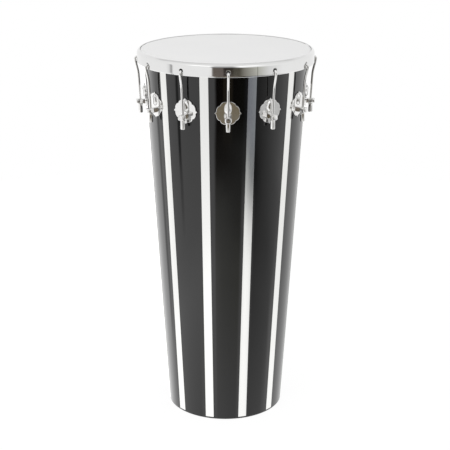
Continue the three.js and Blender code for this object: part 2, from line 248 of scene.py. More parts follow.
looked_at = mirrored.math("MAXIMUM", mirrored, rays.part("Is Camera Ray"))
both = studio.node("ShaderNodeMixShader", {}, {0: looked_at, 1: light, 2: picture})
studio.node("ShaderNodeOutputWorld", {}, {"Surface": both})


# Floor and lamp
# A pale floor that shows white and keeps the drum's shadow, and one large soft lamp at the left.
# The floor is only white to the camera: the drum gets its light from a plain pale surface.
floor_radius = 1.9
floor_sides = 96
floor_pale = 0.8
floor_shade = 0.1
floor_glow = 0.93
lamp_place = Vector((-1.3, -1.6, 2.4))
lamp_size = 1.6
lamp_power = 10

disc = bmesh.new()
bmesh.ops.create_circle(disc, cap_ends=True, segments=floor_sides, radius=floor_radius)
floor_mesh = bpy.data.meshes.new("floor")
disc.to_mesh(floor_mesh)
disc.free()
floor = bpy.data.objects.new("floor", floor_mesh)
scene.collection.objects.link(floor)
floor.visible_glossy = False
pale = bpy.data.materials.new("pale_floor")
pale.use_nodes = True
paint = Recipe(pale.node_tree)
seen = paint.node("ShaderNodeLightPath")
plain = paint.node("ShaderNodeBsdfDiffuse", {}, {"Color": (*grey(floor_pale), 1)})
shaded = paint.node("ShaderNodeBsdfDiffuse", {}, {"Color": (*grey(floor_shade), 1)})
glow = paint.node("ShaderNodeEmission", {}, {"Color": (*grey(1), 1), "Strength": floor_glow})
white = paint.node("ShaderNodeAddShader", {}, {0: shaded, 1: glow})
shown_floor = paint.node("ShaderNodeMixShader", {}, {
    0: seen.part("Is Camera Ray"), 1: plain, 2: white,
})
paint.node("ShaderNodeOutputMaterial", {}, {"Surface": shown_floor})
floor_mesh.materials.append(pale)

lamp = bpy.data.objects.new("soft_lamp", bpy.data.lights.new("soft_lamp", "AREA"))
scene.collection.objects.link(lamp)
lamp.data.size = lamp_size
lamp.data.energy = lamp_power
lamp.location = lamp_place
lamp.rotation_euler = (camera_target - lamp_place).to_track_quat("-Z", "Y").to_euler()
lamp.visible_glossy = False


# Plywood shell
# Birch plies bent and glued into a cone, bare inside, with a rounded foot that is lacquered
# black and a bearing edge that slopes inwards under the head.
ply_thickness = 0.008
sleeve_thickness = 0.0008
fit_gap = 0.0003
strip_relief = 0.0003
foot_round = 0.0012
crest_round = 0.0024
crest_width = 0.0016
lacquer_top = 0.0052
lacquer_fade = 0.0004
round_sides = 240
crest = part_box("plywood_shell")[1].z
drum_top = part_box("counterhoop")[1].z
foot_radius = 0.123
head_radius = 0.17


def finish_mesh(made, name, sharp_degrees=35):
    """Turns a closed bmesh into a smooth-shaded object with its faces outwards."""
    bmesh.ops.recalc_face_normals(made, faces=made.faces)
    mesh = bpy.data.meshes.new(name)
    made.to_mesh(mesh)
    made.free()
    mesh.shade_smooth()
    mesh.set_sharp_from_angle(angle=math.radians(sharp_degrees))
    piece = bpy.data.objects.new(name, mesh)
    scene.collection.objects.link(piece)
    return piece


def join_rings(made, rings, closed):
    """Faces between neighbouring rings of points. A ring of one point closes to a tip."""
    pairs = list(zip(rings, rings[1:])) + ([(rings[-1], rings[0])] if closed else [])
    for low, high in pairs:
        count = max(len(low), len(high))
        for i in range(count):
            j = (i + 1) % count
            around = [low[i % len(low)], low[j % len(low)]]
            around += [high[j % len(high)], high[i % len(high)]]
            made.faces.new(list(dict.fromkeys(around)))


def at_turn(radius, turn, height):
    """The point at a radius and a height, turned by an angle from the front."""
    return radius * math.sin(turn), -radius * math.cos(turn), height


def lathe(name, profile, sides=round_sides):
    """A profile of (radius, height) pairs turned about the drum's axis into a closed solid."""
    made = bmesh.new()
    rings = []
    for radius, height in profile:
        turns = [2 * math.pi * i / sides for i in range(sides if radius else 1)]
        rings.append([made.verts.new(at_turn(radius, turn, height)) for turn in turns])
    join_rings(made, rings, closed=len(rings[0]) > 1)
    return finish_mesh(made, name)


def arc(centre, bend, start, end, steps=6):
    """Points of an arc about centre, from one angle in degrees to another."""
    angles = [math.radians(start + (end - start) * i / steps) for i in range(steps + 1)]
    return [(centre[0] + bend * math.cos(a), centre[1] + bend * math.sin(a)) for a in angles]


def sleeve_face(z):
    return foot_radius + (head_radius - foot_radius) * z / drum_top


def ply_face(z):
    return sleeve_face(z) - sleeve_thickness - fit_gap


def ply_inside(z):
    return ply_face(z) - ply_thickness


def material(name):
    """A new material, its recipe and the Object coordinates that its patterns read."""
    made = bpy.data.materials.new(name)
    made.use_nodes = True
    recipe = Recipe(made.node_tree)
    return made, recipe, recipe.node("ShaderNodeTexCoord", {}, {}, "Object")


def finish_material(recipe, inputs):
    """One principled surface with these inputs becomes what the material shows."""
    surface = recipe.node("ShaderNodeBsdfPrincipled", {}, inputs)
    recipe.node("ShaderNodeOutputMaterial", {}, {"Surface": surface})


crest_inner = ply_face(crest) - crest_round - crest_width
bevel_run = crest_inner - ply_inside(crest)
shell = lathe("plywood_cone", [
    *arc((ply_inside(foot_round) + foot_round, foot_round), foot_round, 180, 270),
    *arc((ply_face(foot_round) - foot_round, foot_round), foot_round, 270, 360),
    *arc((ply_face(crest) - crest_round, crest - crest_round), crest_round, 0, 90),
    (crest_inner, crest),
    (ply_inside(crest - bevel_run), crest - bevel_run),
])

birch, wood, place = material("birch_plywood")
height = wood.node("ShaderNodeSeparateXYZ", {}, {0: place}, "Z")
grain_place = wood.node("ShaderNodeMapping", {}, {0: place, 3: (60, 60, 2.2)})
grain = wood.node("ShaderNodeTexNoise", {}, {
    0: grain_place, "Scale": 3.0, "Detail": 6.0, "Roughness": 0.62,
})
figure_place = wood.node("ShaderNodeMapping", {}, {0: place, 3: (9, 9, 0.8)})
figure = wood.node("ShaderNodeTexNoise", {}, {0: figure_place, "Scale": 2.0, "Detail": 3.0})
tone = wood.node("ShaderNodeValToRGB", {"stops": [
    (0.36, (0.33, 0.19, 0.09)), (0.5, (0.5, 0.32, 0.17)), (0.64, (0.62, 0.44, 0.26)),
]}, {0: grain * 0.6 + figure * 0.4})
lacquered = 1 - height.ramp(lacquer_top - lacquer_fade, lacquer_top + lacquer_fade)
wall_colour = wood.mix(lacquered, tone, (0.004, 0.004, 0.004, 1))
wall_rough = (grain * 0.25 + 0.42) * (1 - lacquered) + lacquered * 0.16
relief = wood.node("ShaderNodeBump", {}, {"Strength": 0.3, "Distance": 0.0003, "Height": grain})
finish_material(wood, {
    "Base Color": wall_colour, "Roughness": wall_rough, "Normal": relief,
})
shell.data.materials.append(birch)
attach(shell, "shell")
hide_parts("plywood_shell")


# Laminate covering
# A thin sleeve of black laminate, glued round the plywood and polished to a high gloss. It
# stops just above the floor. Narrow rings at its ends keep the long wall's shading straight.
sleeve_foot = 0.0014
sleeve_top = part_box("laminate_covering")[1].z
sleeve_round = 0.0003
end_ring = 0.002

foot_corner = (sleeve_face(sleeve_foot) - sleeve_round, sleeve_foot + sleeve_round)
top_corner = (sleeve_face(sleeve_top) - sleeve_round, sleeve_top - sleeve_round)
sleeve = lathe("black_sleeve", [
    (sleeve_face(sleeve_foot) - sleeve_thickness, sleeve_foot),
    *arc(foot_corner, sleeve_round, 270, 360, 3),
    (sleeve_face(sleeve_foot + end_ring), sleeve_foot + end_ring),
    (sleeve_face(sleeve_top - end_ring), sleeve_top - end_ring),
    *arc(top_corner, sleeve_round, 0, 90, 3),
    (sleeve_face(sleeve_top) - sleeve_thickness, sleeve_top),
])

laminate, gloss, place = material("black_laminate")
dust = gloss.node("ShaderNodeTexNoise", {}, {0: place, "Scale": 340.0, "Detail": 3.0})
cloud = gloss.node("ShaderNodeTexNoise", {}, {0: place, "Scale": 7.0, "Detail": 3.0})
tint = gloss.mix(cloud, (0.0012, 0.0012, 0.0013, 1), (0.0026, 0.0025, 0.0024, 1))
film_rough = cloud * 0.03 + dust.ramp(0.62, 0.8) * 0.08 + 0.02
ripple_place = gloss.node("ShaderNodeMapping", {}, {0: place, 3: (1, 1, 0.4)})
ripple = gloss.node("ShaderNodeTexNoise", {}, {0: ripple_place, "Scale": 28.0, "Detail": 2.0})
relief = gloss.node("ShaderNodeBump", {}, {"Strength": 0.25, "Distance": 0.0004, "Height": ripple})
finish_material(gloss, {
    "Base Color": tint, "Roughness": film_rough, "IOR": 1.58, "Normal": relief,
})
sleeve.data.materials.append(laminate)
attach(sleeve, "shell")
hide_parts("laminate_covering")


# Silver strips
# Eleven strips of mirror foil glued to the laminate from foot to head, each a touch askew and
# cut by hand at the ends. Geometry Nodes bends one strip onto the cone, repeats it round the
# drum and frays its ends.
strip_count = 11
strip_width = 0.0174
strip_foot = 0.0045
strip_twist = math.radians(0.85)
first_strip = math.radians(16.1)
strip_fray = 0.0006
strip_seed = 3.7
strip_columns = 9
strip_levels = 121


class Shape(Recipe):
    """A Geometry Nodes group with named inputs, for one modifier."""

    def __init__(self, name, sockets):
        super().__init__(bpy.data.node_groups.new(name, "GeometryNodeTree"))
        new_socket = self.tree.interface.new_socket
        for direction in ("INPUT", "OUTPUT"):
            new_socket("Geometry", in_out=direction, socket_type="NodeSocketGeometry")
        for socket, kind in sockets.items():
            new_socket(socket, in_out="INPUT", socket_type="NodeSocket" + kind)
        self.given = self.node("NodeGroupInput")

    def finish(self, geometry):
        whole = self.node("GeometryNodeRealizeInstances", {}, {0: geometry})
        coating = self.given.part("Material")
        painted = self.node("GeometryNodeSetMaterial", {}, {0: whole, "Material": coating})
        self.node("NodeGroupOutput", {}, {0: painted})

    def apply(self, host, values):
        """Runs the group on host with these values and leaves the result as its plain mesh."""
        modifier = host.modifiers.new(self.tree.name, "NODES")
        modifier.node_group = self.tree
        for item in self.tree.interface.items_tree:
            if item.name in values and item.in_out == "INPUT":
                modifier[item.identifier] = values[item.name]
        bpy.context.view_layer.update()
        evaluated = host.evaluated_get(bpy.context.evaluated_depsgraph_get())
        mesh = bpy.data.meshes.new_from_object(evaluated)
        host.modifiers.remove(modifier)
        host.data = mesh


strips = Shape("silver_strips", {
    "Count": "Int", "Width": "Float", "Foot": "Float", "Top": "Float", "Foot Radius": "Float",
    "Slope": "Float", "Relief": "Float", "First Turn": "Float", "Twist": "Float", "Fray": "Float",
    "Seed": "Float", "Material": "Material",
})
given = strips.given
blank = strips.node("GeometryNodeMeshGrid", {}, {
    "Size X": given.part("Width"), "Size Y": 1.0,
    "Vertices X": strip_columns, "Vertices Y": strip_levels,
})
flat = strips.node("ShaderNodeSeparateXYZ", {}, {0: strips.node("GeometryNodeInputPosition")})
level = given.part("Foot") + (flat.part("Y") + 0.5) * (given.part("Top") - given.part("Foot"))
radius = given.part("Foot Radius") + level * given.part("Slope")
angle = flat.part("X") / radius + flat.part("Y") * given.part("Twist")
bent = strips.node("ShaderNodeCombineXYZ", {}, {
    0: radius * angle.math("SINE", angle), 1: 0 - radius * angle.math("COSINE", angle), 2: level,
})
curved = strips.node("GeometryNodeSetPosition", {}, {0: blank, "Position": bent})
raised = strips.node("GeometryNodeExtrudeMesh", {}, {
    "Mesh": curved, "Offset Scale": given.part("Relief"), "Individual": False,
})
backing = strips.node("GeometryNodeFlipFaces", {}, {0: curved})
strip_parts = strips.node("GeometryNodeJoinGeometry", {}, {0: raised})
strips.tree.links.new(backing.socket, strip_parts.socket.node.inputs[0])
closed_strip = strips.node("GeometryNodeMergeByDistance", {}, {0: strip_parts, "Distance": 1e-6})
spots = strips.node("GeometryNodePoints", {}, {0: given.part("Count")})
number = strips.node("GeometryNodeInputIndex")
turn = given.part("First Turn") + number * (2 * math.pi) / given.part("Count")
turned = strips.node("ShaderNodeCombineXYZ", {}, {2: turn})
copies = strips.node("GeometryNodeInstanceOnPoints", {}, {
    "Points": spots, "Instance": closed_strip, "Rotation": turned,
})
loose = strips.node("GeometryNodeRealizeInstances", {}, {0: copies})
spot = strips.node("GeometryNodeInputPosition")
tall = strips.node("ShaderNodeSeparateXYZ", {}, {0: spot}, "Z")
frayed = strips.node("ShaderNodeTexNoise", {"noise_dimensions": "4D"}, {
    "Vector": spot, "W": given.part("Seed"), "Scale": 260.0, "Detail": 1.0,
})
middle = (given.part("Foot") + given.part("Top")) * 0.5
end_mark = tall.math("ABSOLUTE", tall - middle) / (given.part("Top") - given.part("Foot")) * 2
at_end = end_mark.ramp(0.9995, 1.0)
inward = tall.math("SIGN", middle - tall) * at_end * frayed * given.part("Fray")
slide = strips.node("ShaderNodeCombineXYZ", {}, {2: inward})
strips.finish(strips.node("GeometryNodeSetPosition", {}, {0: loose, "Offset": slide}))

foil, silver, place = material("silver_foil")
brush_place = silver.node("ShaderNodeMapping", {}, {0: place, 3: (1, 1, 0.03)})
brush = silver.node("ShaderNodeTexNoise", {}, {0: brush_place, "Scale": 420.0, "Detail": 3.0})
cloud = silver.node("ShaderNodeTexNoise", {}, {0: place, "Scale": 9.0, "Detail": 3.0})
tint = silver.mix(cloud, (0.79, 0.79, 0.77, 1), (0.85, 0.85, 0.835, 1))
foil_rough = brush * 0.05 + cloud * 0.05 + 0.05
relief = silver.node("ShaderNodeBump", {}, {"Strength": 0.2, "Distance": 0.0002, "Height": cloud})
finish_material(silver, {
    "Base Color": tint, "Metallic": 1.0, "Roughness": foil_rough, "Normal": relief,
})

strip_host = bpy.data.objects.new("silver_strips", bpy.data.meshes.new("silver_strips"))
scene.collection.objects.link(strip_host)
strips.apply(strip_host, {
    "Count": strip_count, "Width": strip_width, "Foot": strip_foot,
    "Top": sleeve_top - sleeve_round, "Foot Radius": foot_radius,
    "Slope": (head_radius - foot_radius) / drum_top, "Relief": strip_relief,
    "First Turn": first_strip, "Twist": strip_twist, "Fray": strip_fray, "Seed": strip_seed,
    "Material": foil,
})
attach(strip_host, "shell")


# Lug bolts
# Zinc plated hexagon bolts with round washers, driven through the wall from inside the shell
# into the lugs' backs. One bolt is made, and Geometry Nodes repeats it round the drum.
lug_count = 12
arm_middle = 0.6695
wall_tilt = math.atan((head_radius - foot_radius) / drum_top)
bolt_radius = 0.003
bolt_grip = 0.0055
bolt_head_flats = 0.01
bolt_head_height = 0.004
bolt_edge = 0.0006
washer_radius = 0.0075
washer_thickness = 0.0015
washer_edge = 0.0003
wall_sides = 60
bolt_sides = 32
washer_sides = 48

# A flat washer bridges the round wall, which falls away from it by this much at most.
washer_hollow = washer_radius * math.tan(math.pi / wall_sides)
seat = Matrix.Translation((0, -sleeve_face(arm_middle), arm_middle))
on_wall = seat @ Matrix.Rotation(wall_tilt, 4, "X")
outwards = Matrix.Rotation(math.pi / 2, 4, "X")

round_drum = Shape("placed_round", {"Count": "Int", "Material": "Material"})
spots = round_drum.node("GeometryNodePoints", {}, {0: round_drum.given.part("Count")})
number = round_drum.node("GeometryNodeInputIndex")
turned = round_drum.node("ShaderNodeCombineXYZ", {}, {
    2: number * (2 * math.pi) / round_drum.given.part("Count"),
})
round_drum.finish(round_drum.node("GeometryNodeInstanceOnPoints", {}, {
    "Points": spots, "Instance": round_drum.given.part("Geometry"), "Rotation": turned,
}))


def prism(made, sections, sides):
    """A closed solid of stacked regular sections, each (radius, height), along local Z."""
    rings = []
    for radius, height in sections:
        turns = [2 * math.pi * i / sides for i in range(sides)]
        rings.append([
            made.verts.new((radius * math.cos(turn), radius * math.sin(turn), height))
            for turn in turns
        ])
    join_rings(made, rings, closed=False)
    made.faces.new(rings[0])
    made.faces.new(rings[-1])


washer_seat = -sleeve_thickness - ply_thickness - washer_hollow - 2 * fit_gap
head_seat = washer_seat - washer_thickness
head_corner = bolt_head_flats / math.sqrt(3)
bolt_tip = strip_relief + fit_gap + bolt_grip
bolt = bmesh.new()
prism(bolt, [(bolt_radius, head_seat), (bolt_radius, bolt_tip)], bolt_sides)
prism(bolt, [
    (washer_radius - washer_edge, head_seat), (washer_radius, head_seat + washer_edge),
    (washer_radius, washer_seat - washer_edge), (washer_radius - washer_edge, washer_seat),
], washer_sides)
prism(bolt, [
    (head_corner - bolt_edge, head_seat - bolt_head_height),
    (head_corner, head_seat - bolt_head_height + bolt_edge), (head_corner, head_seat),
], 6)
bolt.transform(on_wall @ outwards)
bolts = finish_mesh(bolt, "lug_bolts", sharp_degrees=25)

zinc, plating, place = material("zinc_plate")
spangle = plating.node("ShaderNodeTexNoise", {}, {0: place, "Scale": 500.0, "Detail": 4.0})
tint = plating.mix(spangle, (0.42, 0.42, 0.4, 1), (0.62, 0.63, 0.64, 1))
finish_material(plating, {
    "Base Color": tint, "Metallic": 1.0, "Roughness": spangle * 0.25 + 0.22,
})
round_drum.apply(bolts, {"Count": lug_count, "Material": zinc})
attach(bolts, "shell")
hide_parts(*(f"lug_bolt_{number + 1:02d}" for number in range(lug_count)))


# Lugs
# Chromed castings: a flat scalloped plate seated on the shell, a teardrop boss on it, and a
# level arm with a round end that holds the tension rod clear of the wall.
rod_standoff = 0.013
rod_circle = sleeve_face(arm_middle) + rod_standoff
arm_height = 0.0096
arm_width = 0.014
arm_reach = 0.009
arm_neck = 0.007
arm_swell_start = -0.007
arm_swell_run = 0.012
arm_corner = 0.0026
arm_bulge = 0.03
arm_round = 0.003
tip_rounding = 0.15
side_rounding = 1.6
arm_sides = 144
wall_cone = 0.2
rod_hole = 0.003
hole_edge = 0.0004
plate_radius = 0.0235
plate_point = 0.0034
plate_point_share = 0.08
plate_notch = 0.0015
plate_notch_share = 0.1
plate_curl = 1.3
scallop_depth = 0.0004
plate_thickness = 0.0022
plate_lift = 0.011
plate_round = 0.0007
plate_sides = 192
plate_rings = 40
boss_width = 0.0146
boss_length = 0.024
boss_standout = 0.0046
boss_low = 0.0095
boss_drop = 0.75
boss_fullness = 0.6
boss_crown = 0.62
boss_shoulder = 0.36
seat_gap = strip_relief + fit_gap


def plate_edge(turn):
    """The plate's outline: a small point at each quarter and a notch half way between them."""
    quarter = abs((turn / (math.pi / 2) + 0.5) % 1 - 0.5)
    point = plate_point * max(0, 1 - quarter / plate_point_share) ** plate_curl
    notch = plate_notch * max(0, 1 - (0.5 - quarter) / plate_notch_share) ** plate_curl
    return plate_radius - scallop_depth * math.cos(4 * math.pi * quarter) + point - notch


def boss_rise(x, z):
    """How far the teardrop boss stands out of the plate at a point of the plate."""
    share = (z - boss_low) / boss_length
    if not 0 < share < 1:
        return 0.0
    half = boss_width / 2 * math.sin(math.pi * share ** boss_drop) ** boss_fullness
    if abs(x) >= half:
        return 0.0
    crown = (1 - (x / half) ** 2) ** boss_crown
    return boss_standout * crown * min(1, half / (boss_width * boss_shoulder))


def seat_depth(x, z):
    """How far behind the wall's tangent plane the round shell lies at a point of the plate."""
    radius = (sleeve_face(arm_middle + z) + seat_gap) / math.cos(wall_tilt)
    return radius - math.sqrt(radius * radius - x * x) - seat_gap


def plate_ring(made, share, depth):
    """A ring of points that follows the plate's scalloped edge, drawn in by a share of it."""
    ring = []
    for i in range(plate_sides):
        turn = 2 * math.pi * i / plate_sides
        x = plate_edge(turn) * share * math.cos(turn)
        z = plate_lift + plate_edge(turn) * share * math.sin(turn)
        ring.append(made.verts.new((x, depth(x, z), z)))
    return ring


def plate_face(x, z):
    return -plate_thickness - boss_rise(x, z)


lug = bmesh.new()
flat_share = 1 - plate_round / plate_radius
rings = [[lug.verts.new((0, plate_face(0, plate_lift), plate_lift))]]
rings += [
    plate_ring(lug, flat_share * i / plate_rings, plate_face) for i in range(1, plate_rings + 1)
]
for out, fall in arc((0, 0), 1, 60, 0, 3):
    share = 1 - plate_round / plate_radius * (1 - out)
    level = plate_round * (1 - fall) - plate_thickness
    rings.append(plate_ring(lug, share, lambda x, z: level))
rings += [plate_ring(lug, share, seat_depth) for share in (1, 0.6, 0.25)]
rings.append([lug.verts.new((0, seat_depth(0, plate_lift), plate_lift))])
join_rings(lug, rings, closed=False)
lug.transform(on_wall)

neck_reach = rod_circle - sleeve_face(arm_middle) - seat_gap


def on_arm(side, out):
    """Whether a point beside and out from the rod's axis lies inside the arm's outline."""
    swell = min(1, max(0, (out - arm_swell_start) / arm_swell_run))
    half = arm_neck / 2 + (arm_width - arm_neck) / 2 * swell * swell * (3 - 2 * swell)
    past = max(0, out + side * side / (2 * arm_bulge) - arm_reach + arm_corner)
    return past < arm_corner and side < half - arm_corner + math.sqrt(arm_corner ** 2 - past ** 2)


def arm_outline(turn):
    """The arm's outline seen from above, as a distance from the rod's axis. Turn 0 faces out."""
    faces_wall = math.cos(turn) < -wall_cone
    low, high = 0.0, neck_reach / -math.cos(turn) if faces_wall else 2 * arm_reach
    for _ in range(30):
        middle = (low + high) / 2
        if on_arm(abs(math.sin(turn)) * middle, math.cos(turn) * middle):
            low = middle
        else:
            high = middle
    return low


half_height = arm_height / 2
rings = []
for i in range(arm_sides):
    turn = 2 * math.pi * i / arm_sides
    outline = arm_outline(turn)
    rounding = min(1, tip_rounding + side_rounding * math.sin(turn) ** 2)
    bend = min(arm_round * rounding, outline - rod_hole - 2 * hole_edge)
    upper = arc((outline - bend, half_height - bend), bend, 90, 0)
    bore = [(rod_hole + hole_edge, -half_height), (rod_hole, hole_edge - half_height)]
    bore += [(rod_hole, half_height - hole_edge), (rod_hole + hole_edge, half_height)]
    lower = [(reach, -level) for reach, level in reversed(upper)]
    side, out = math.sin(turn), math.cos(turn)
    rings.append([
        lug.verts.new((reach * side, -rod_circle - reach * out, arm_middle + level))
        for reach, level in [*bore, *upper, *lower]
    ])
join_rings(lug, rings, closed=True)
lugs = finish_mesh(lug, "lugs", sharp_degrees=32)

chrome, plating, place = material("lug_chrome")
haze = plating.node("ShaderNodeTexNoise", {}, {0: place, "Scale": 60.0, "Detail": 4.0})
scratch = plating.node("ShaderNodeTexNoise", {}, {0: place, "Scale": 900.0, "Detail": 2.0})
tint = plating.mix(haze, (0.8, 0.79, 0.78, 1), (0.88, 0.88, 0.87, 1))
relief = plating.node("ShaderNodeBump", {}, {
    "Strength": 0.08, "Distance": 0.0001, "Height": scratch,
})
finish_material(plating, {
    "Base Color": tint, "Metallic": 1.0, "Roughness": haze * 0.1 + 0.07, "Normal": relief,
})
round_drum.apply(lugs, {"Count": lug_count, "Material": chrome})
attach(lugs, "shell")
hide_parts(*(f"lug_{number + 1:02d}" for number in range(lug_count)))


# Drumhead
# One sheet of white polyester film, flat over the bearing edge, whose formed collar drops into
# the flesh hoop's groove. Its rim falls to a ledge that leaves the counterhoop room to travel.
film_thickness = 0.0004
collar_drop = 0.0032
flesh_standoff = 0.0039
flesh_wall = 0.0012
flesh_groove = 0.0021
collar_bend = 0.0003
rim_steps = [(-0.001, 0.0001), (0, 0.0003), (0.0005, 0.0007), (0.0007, 0.0013)]
rim_ledge = 0.0003
skirt_foot, film_top = (corner.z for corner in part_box("drumhead_film"))
flat_edge = ply_face(crest)
flesh_inner = head_radius + flesh_standoff
skirt_outer = flesh_inner + flesh_wall + (flesh_groove + film_thickness) / 2
skirt_inner = skirt_outer - film_thickness
collar_level = film_top - collar_drop

film = lathe("drumhead", [
    (0, film_top), (flat_edge / 2, film_top), (flat_edge, film_top),
    *((flesh_inner + out, film_top - fall) for out, fall in rim_steps),
    (flesh_inner + rim_steps[-1][0], collar_level + rim_ledge),
    (flesh_inner + rim_steps[-1][0] + rim_ledge, collar_level),
    *arc((skirt_outer - collar_bend, collar_level - collar_bend), collar_bend, 90, 0, 3),
    (skirt_outer, skirt_foot), (skirt_inner, skirt_foot),
    (skirt_inner, collar_level - film_thickness), (flesh_inner, collar_level - film_thickness),
    (flat_edge, film_top - film_thickness), (flat_edge / 2, film_top - film_thickness),
    (0, film_top - film_thickness),
])

polyester, plastic, place = material("white_film")
cloud = plastic.node("ShaderNodeTexNoise", {}, {0: place, "Scale": 12.0, "Detail": 4.0})
fleck = plastic.node("ShaderNodeTexNoise", {}, {0: place, "Scale": 700.0, "Detail": 2.0})
tint = plastic.mix(cloud, (0.815, 0.815, 0.815, 1), (0.87, 0.87, 0.865, 1))
relief = plastic.node("ShaderNodeBump", {}, {
    "Strength": 0.15, "Distance": 0.0001, "Height": fleck,
})
finish_material(plastic, {
    "Base Color": tint, "Roughness": cloud * 0.15 + 0.38, "Normal": relief,
})
film.data.materials.append(polyester)
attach(film, "shell")
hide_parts("drumhead_film")


# Flesh hoop
# An aluminium channel that grips the film's collar. It hides under the counterhoop, so the
# CAD solid itself is shown.
flesh_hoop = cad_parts["flesh_hoop"]
aluminium, mill, place = material("mill_aluminium")
drawn = mill.node("ShaderNodeMapping", {}, {0: place, 3: (1, 1, 24)})
lines = mill.node("ShaderNodeTexNoise", {}, {0: drawn, "Scale": 60.0, "Detail": 4.0})
tint = mill.mix(lines, (0.5, 0.51, 0.52, 1), (0.66, 0.66, 0.67, 1))
finish_material(mill, {
    "Base Color": tint, "Metallic": 1.0, "Roughness": lines * 0.2 + 0.3,
})
for material_slot in flesh_hoop.material_slots:
    material_slot.material = aluminium


# Counterhoop
# Steel strip rolled into a tall band with its top edge turned in over the flesh hoop, welded
# once, punched with twelve holes for the hooks and then chromed.
hoop_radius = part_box("counterhoop")[1].x
hoop_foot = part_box("counterhoop")[0].z
hoop_wall = 0.0016
hoop_edge = 0.0007
hoop_shoulder = 0.0085
lip_width = 0.006
hole_drop = 0.017
hole_radius = 0.0041
hole_corners = 8
hole_edge_round = 0.0004
patch_half = 0.0066
patch_cells = 8
plain_cells = 12
patch_rings = 3
# Painted reflection: a thin dark line in the chrome's colour at this turn round the band, standing
# in for a dark stripe of the studio mirrored there. It fades out above the shoulder's start.
reflected_stripe_turn = math.radians(18.2)
reflected_stripe_half_turn = 0.0045
reflected_stripe_fade = 0.002

hole_level = drum_top - hole_drop
turn_in = hoop_shoulder - lip_width
shoulder_level = drum_top - math.sqrt(hoop_shoulder ** 2 - turn_in ** 2)
shoulder_centre = (hoop_radius - hoop_shoulder, shoulder_level)
lip_bend = hoop_shoulder - hoop_wall / 2
lip_turn = math.degrees(math.asin((drum_top - hoop_wall / 2 - shoulder_level) / lip_bend))
lip_centre = arc(shoulder_centre, lip_bend, lip_turn, lip_turn)[0]
levels = [hole_level + patch_half * (2 * i / patch_cells - 1) for i in range(patch_cells + 1)]
outer_foot = (hoop_radius - hoop_edge, hoop_foot + hoop_edge)
inner_foot = (hoop_radius - hoop_wall + hoop_edge, hoop_foot + hoop_edge)
foot_edge = arc(outer_foot, hoop_edge, -90, 0, 4)
shoulder = arc(shoulder_centre, hoop_shoulder, 0, lip_turn, 16)
lip = arc(lip_centre, hoop_wall / 2, lip_turn, lip_turn + 180, 8)[1:-1]
throat = arc(shoulder_centre, hoop_shoulder - hoop_wall, lip_turn, 0, 10)
inner_edge = arc(inner_foot, hoop_edge, 180, 270, 3)
profile = [
    *foot_edge, *((hoop_radius, level) for level in levels), *shoulder, *lip, *throat,
    *((hoop_radius - hoop_wall, level) for level in reversed(levels)), *inner_edge,
]
outer_first = len(foot_edge)
inner_first = outer_first + len(levels) + len(shoulder) + len(lip) + len(throat)

sector = 2 * math.pi / lug_count
patch_turn = patch_half / hoop_radius
plain_turn = sector - 2 * patch_turn
sector_cells = patch_cells + plain_cells
turns = []
for number in range(lug_count):
    start = number * sector - patch_turn
    turns += [start + 2 * patch_turn * i / patch_cells for i in range(patch_cells)]
    turns += [start + 2 * patch_turn + plain_turn * i / plain_cells for i in range(plain_cells)]

band = bmesh.new()
columns = [
    [band.verts.new(at_turn(radius, turn, level)) for radius, level in profile] for turn in turns
]
patch_rows = {first + i for first in (outer_first, inner_first) for i in range(patch_cells)}
for i, column in enumerate(columns):
    beside = columns[(i + 1) % len(columns)]
    for j in range(len(profile)):
        k = (j + 1) % len(profile)
        if i % sector_cells >= patch_cells or j not in patch_rows:
            band.faces.new((column[j], beside[j], beside[k], column[k]))

square = [(i, 0) for i in range(patch_cells)]
square += [(patch_cells, j) for j in range(patch_cells)]
square += [(patch_cells - i, patch_cells) for i in range(patch_cells)]
square += [(0, patch_cells - j) for j in range(patch_cells)]


def hole_ring(number, blend, reach, depth):
    """A ring of points between a patch's square edge, at blend 0, and its round hole."""
    ring = []
    radius = hoop_radius - depth
    for i, j in square:
        x = patch_half * (2 * i / patch_cells - 1)
        z = patch_half * (2 * j / patch_cells - 1)
        stretch = 1 + (reach / math.hypot(x, z) - 1) * blend
        turn = number * sector + x * stretch / hoop_radius
        ring.append(band.verts.new(at_turn(radius, turn, hole_level + z * stretch)))
    return ring


for number in range(lug_count):
    patch = columns[number * sector_cells:] + columns[:1]
    blends = [(i + 1) / patch_rings for i in range(patch_rings)]
    wide = hole_radius + hole_edge_round
    rings = [[patch[i][outer_first + j] for i, j in square]]
    rings += [hole_ring(number, blend, wide, 0) for blend in blends]
    for out, fall in arc((0, 0), hole_edge_round, 135, 180, 2):
        rings.append(hole_ring(number, 1, wide + out, hole_edge_round - fall))
    rings.append(hole_ring(number, 1, hole_radius, hoop_wall - hole_edge_round))
    rings += [hole_ring(number, blend, wide, hoop_wall) for blend in reversed(blends)]
    rings.append([patch[i][inner_first + patch_cells - j] for i, j in square])
    join_rings(band, rings, closed=False)
hoop = finish_mesh(band, "counterhoop_band")

polished, mirror, place = material("hoop_chrome")
spot = mirror.node("ShaderNodeSeparateXYZ", {}, {0: place})
